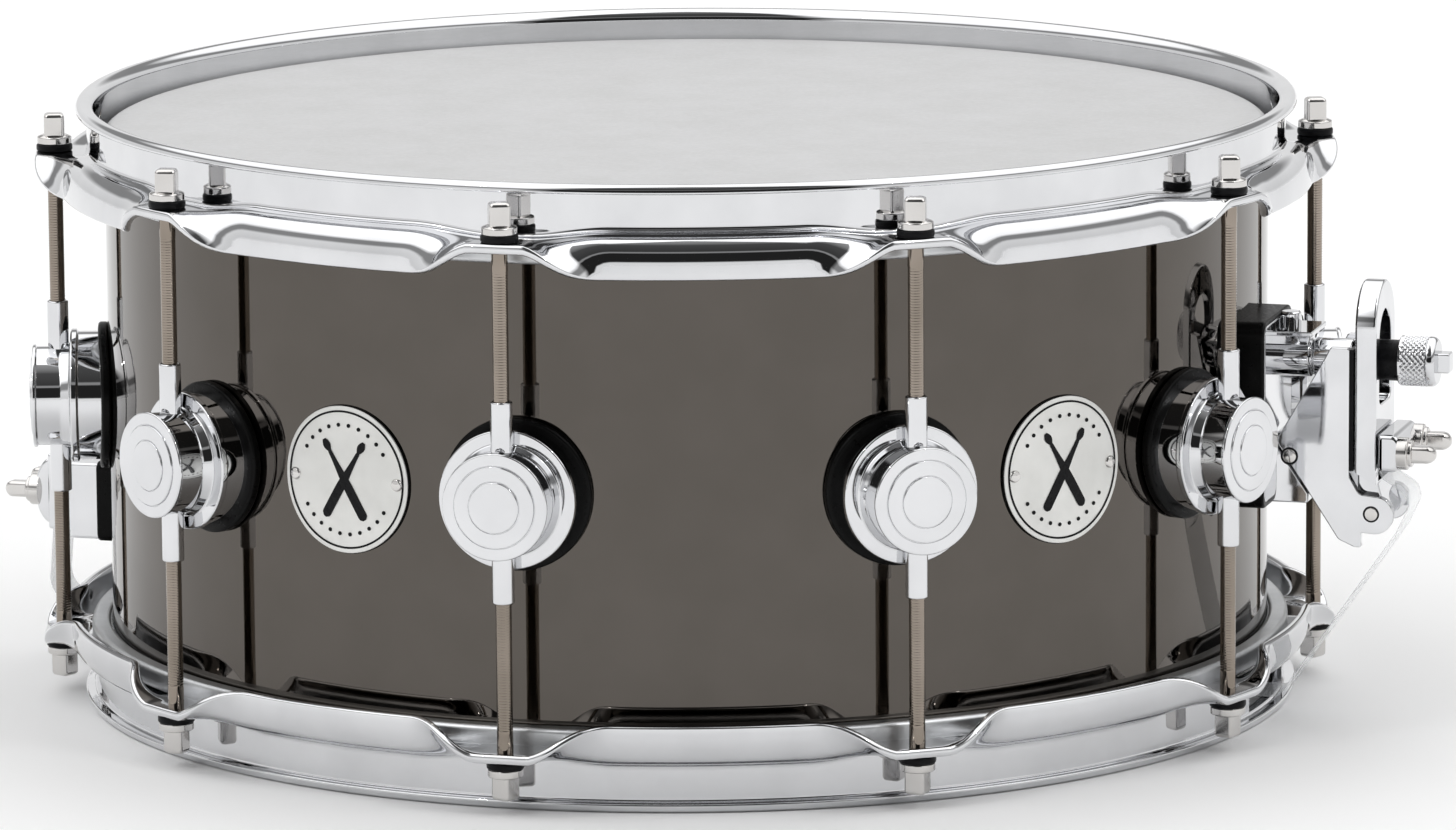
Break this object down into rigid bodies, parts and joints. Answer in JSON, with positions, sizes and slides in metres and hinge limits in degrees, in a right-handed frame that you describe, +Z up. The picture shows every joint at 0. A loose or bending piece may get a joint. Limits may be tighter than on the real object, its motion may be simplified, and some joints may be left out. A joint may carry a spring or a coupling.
{
  "type": "snare drum",
  "caption": "Metal-shell snare drum with round tube lugs, tension rods, flanged hoops, a lever throw-off with tension knob, a butt plate and coiled snares.",
  "frame": {"origin": "on the drum's axis, at the face of the lower rim that the drum stands on", "axes": "+Z up along the drum's axis, +X towards the throw-off, -X towards the butt plate; the snares run along X"},
  "size_m": [0.4581, 0.404, 0.184],
  "materials": {
    "shell_nickel": "mirror black nickel plate",
    "hoop_chrome": "mirror chrome plate",
    "coated_film": "sprayed matte coating",
    "clear_film": "clear polyester film",
    "flesh_aluminium": "satin",
    "lug_chrome": "mirror chrome plate",
    "rod_nickel": "bright nickel plate",
    "washer_nylon": "black nylon",
    "nut_nickel": "polished nickel",
    "black_rubber": "matte black",
    "screw_steel": "bright nickel plate",
    "badge_satin": "satin",
    "fitting_chrome": "mirror chrome plate",
    "knob_chrome": "knurled satin chrome",
    "snare_steel": "coiled steel",
    "strap_plastic": "clear plastic strap"
  },
  "bodies": {
    "root": {"shell": "shell_nickel", "batter_hoop": "hoop_chrome", "snare_side_hoop": "hoop_chrome", "batter_head_film": "coated_film", "snare_side_head_film": "clear_film", "batter_flesh_hoop": "flesh_aluminium", "snare_side_flesh_hoop": "flesh_aluminium", "lug_01": "lug_chrome", "lug_02": "lug_chrome", "lug_03": "lug_chrome", "lug_04": "lug_chrome", "lug_05": "lug_chrome", "lug_06": "lug_chrome", "lug_07": "lug_chrome", "lug_08": "lug_chrome", "lug_09": "lug_chrome", "lug_10": "lug_chrome", "rod_washers": "washer_nylon", "lug_tube_nuts": "nut_nickel", "lug_gaskets": "black_rubber", "strainer_gasket": "black_rubber", "butt_gasket": "black_rubber", "mounting_screws": "screw_steel", "butt_clamp_screws": "screw_steel", "badge_rivets": "screw_steel", "badges": "badge_satin", "air_vent_grommet": "fitting_chrome", "strainer_base": "fitting_chrome", "butt_block": "fitting_chrome", "butt_strap_clamp": "fitting_chrome", "snare_wires": "snare_steel", "snare_end_plates": "snare_steel", "snare_strap_strainer": "strap_plastic", "snare_strap_butt": "strap_plastic"},
    "strainer_carriage_body": {"strainer_carriage": "fitting_chrome", "lever_pivot_pin": "screw_steel"},
    "throw_lever_body": {"throw_lever": "fitting_chrome", "strainer_strap_clamp": "fitting_chrome", "strainer_clamp_screws": "screw_steel"},
    "tension_knob_body": {"tension_knob": "knob_chrome"},
    "batter_rod_01_body": {"batter_rod_01": "rod_nickel"},
    "batter_rod_02_body": {"batter_rod_02": "rod_nickel"},
    "batter_rod_03_body": {"batter_rod_03": "rod_nickel"},
    "batter_rod_04_body": {"batter_rod_04": "rod_nickel"},
    "batter_rod_05_body": {"batter_rod_05": "rod_nickel"},
    "batter_rod_06_body": {"batter_rod_06": "rod_nickel"},
    "batter_rod_07_body": {"batter_rod_07": "rod_nickel"},
    "batter_rod_08_body": {"batter_rod_08": "rod_nickel"},
    "batter_rod_09_body": {"batter_rod_09": "rod_nickel"},
    "batter_rod_10_body": {"batter_rod_10": "rod_nickel"},
    "snare_side_rod_01_body": {"snare_side_rod_01": "rod_nickel"},
    "snare_side_rod_02_body": {"snare_side_rod_02": "rod_nickel"},
    "snare_side_rod_03_body": {"snare_side_rod_03": "rod_nickel"},
    "snare_side_rod_04_body": {"snare_side_rod_04": "rod_nickel"},
    "snare_side_rod_05_body": {"snare_side_rod_05": "rod_nickel"},
    "snare_side_rod_06_body": {"snare_side_rod_06": "rod_nickel"},
    "snare_side_rod_07_body": {"snare_side_rod_07": "rod_nickel"},
    "snare_side_rod_08_body": {"snare_side_rod_08": "rod_nickel"},
    "snare_side_rod_09_body": {"snare_side_rod_09": "rod_nickel"},
    "snare_side_rod_10_body": {"snare_side_rod_10": "rod_nickel"}
  },
  "joints": [
    {"name": "knob_turn", "type": "hinge", "parent": "root", "child": "tension_knob_body", "pos_m": [0.229, 0, 0.1095], "axis": [1, 0, 0], "range_deg": [-1080, 1080]},
    {"name": "carriage_slide", "type": "slide", "parent": "root", "child": "strainer_carriage_body", "axis": [0, 0, 1], "range_m": [-0.003, 0.003], "deforming": ["snare_strap_strainer"]},
    {"name": "throw_off", "type": "hinge", "parent": "strainer_carriage_body", "child": "throw_lever_body", "pos_m": [0.2171, 0, 0.0647], "axis": [0, 1, 0], "range_deg": [0, 90], "deforming": ["snare_strap_strainer"]},
    {"name": "batter_rod_01_turn", "type": "hinge", "parent": "root", "child": "batter_rod_01_body", "pos_m": [0.18355, 0.05964, 0.15], "axis": [0, 0, 1], "continuous": true},
    {"name": "snare_side_rod_01_turn", "type": "hinge", "parent": "root", "child": "snare_side_rod_01_body", "pos_m": [0.18355, 0.05964, 0.034], "axis": [0, 0, 1], "continuous": true},
    {"name": "batter_rod_02_turn", "type": "hinge", "parent": "root", "child": "batter_rod_02_body", "pos_m": [0.11344, 0.15614, 0.15], "axis": [0, 0, 1], "continuous": true},
    {"name": "snare_side_rod_02_turn", "type": "hinge", "parent": "root", "child": "snare_side_rod_02_body", "pos_m": [0.11344, 0.15614, 0.034], "axis": [0, 0, 1], "continuous": true},
    {"name": "batter_rod_03_turn", "type": "hinge", "parent": "root", "child": "batter_rod_03_body", "pos_m": [0, 0.193, 0.15], "axis": [0, 0, 1], "continuous": true},
    {"name": "snare_side_rod_03_turn", "type": "hinge", "parent": "root", "child": "snare_side_rod_03_body", "pos_m": [0, 0.193, 0.034], "axis": [0, 0, 1], "continuous": true},
    {"name": "batter_rod_04_turn", "type": "hinge", "parent": "root", "child": "batter_rod_04_body", "pos_m": [-0.11344, 0.15614, 0.15], "axis": [0, 0, 1], "continuous": true},
    {"name": "snare_side_rod_04_turn", "type": "hinge", "parent": "root", "child": "snare_side_rod_04_body", "pos_m": [-0.11344, 0.15614, 0.034], "axis": [0, 0, 1], "continuous": true},
    {"name": "batter_rod_05_turn", "type": "hinge", "parent": "root", "child": "batter_rod_05_body", "pos_m": [-0.18355, 0.05964, 0.15], "axis": [0, 0, 1], "continuous": true},
    {"name": "snare_side_rod_05_turn", "type": "hinge", "parent": "root", "child": "snare_side_rod_05_body", "pos_m": [-0.18355, 0.05964, 0.034], "axis": [0, 0, 1], "continuous": true},
    {"name": "batter_rod_06_turn", "type": "hinge", "parent": "root", "child": "batter_rod_06_body", "pos_m": [-0.18355, -0.05964, 0.15], "axis": [0, 0, 1], "continuous": true},
    {"name": "snare_side_rod_06_turn", "type": "hinge", "parent": "root", "child": "snare_side_rod_06_body", "pos_m": [-0.18355, -0.05964, 0.034], "axis": [0, 0, 1], "continuous": true},
    {"name": "batter_rod_07_turn", "type": "hinge", "parent": "root", "child": "batter_rod_07_body", "pos_m": [-0.11344, -0.15614, 0.15], "axis": [0, 0, 1], "continuous": true},
    {"name": "snare_side_rod_07_turn", "type": "hinge", "parent": "root", "child": "snare_side_rod_07_body", "pos_m": [-0.11344, -0.15614, 0.034], "axis": [0, 0, 1], "continuous": true},
    {"name": "batter_rod_08_turn", "type": "hinge", "parent": "root", "child": "batter_rod_08_body", "pos_m": [0, -0.193, 0.15], "axis": [0, 0, 1], "continuous": true},
    {"name": "snare_side_rod_08_turn", "type": "hinge", "parent": "root", "child": "snare_side_rod_08_body", "pos_m": [0, -0.193, 0.034], "axis": [0, 0, 1], "continuous": true},
    {"name": "batter_rod_09_turn", "type": "hinge", "parent": "root", "child": "batter_rod_09_body", "pos_m": [0.11344, -0.15614, 0.15], "axis": [0, 0, 1], "continuous": true},
    {"name": "snare_side_rod_09_turn", "type": "hinge", "parent": "root", "child": "snare_side_rod_09_body", "pos_m": [0.11344, -0.15614, 0.034], "axis": [0, 0, 1], "continuous": true},
    {"name": "batter_rod_10_turn", "type": "hinge", "parent": "root", "child": "batter_rod_10_body", "pos_m": [0.18355, -0.05964, 0.15], "axis": [0, 0, 1], "continuous": true},
    {"name": "snare_side_rod_10_turn", "type": "hinge", "parent": "root", "child": "snare_side_rod_10_body", "pos_m": [0.18355, -0.05964, 0.034], "axis": [0, 0, 1], "continuous": true}
  ],
  "couplings": [
    {"joint": "knob_turn", "follows": "carriage_slide", "rad_per_m": 6283.2}
  ]
}
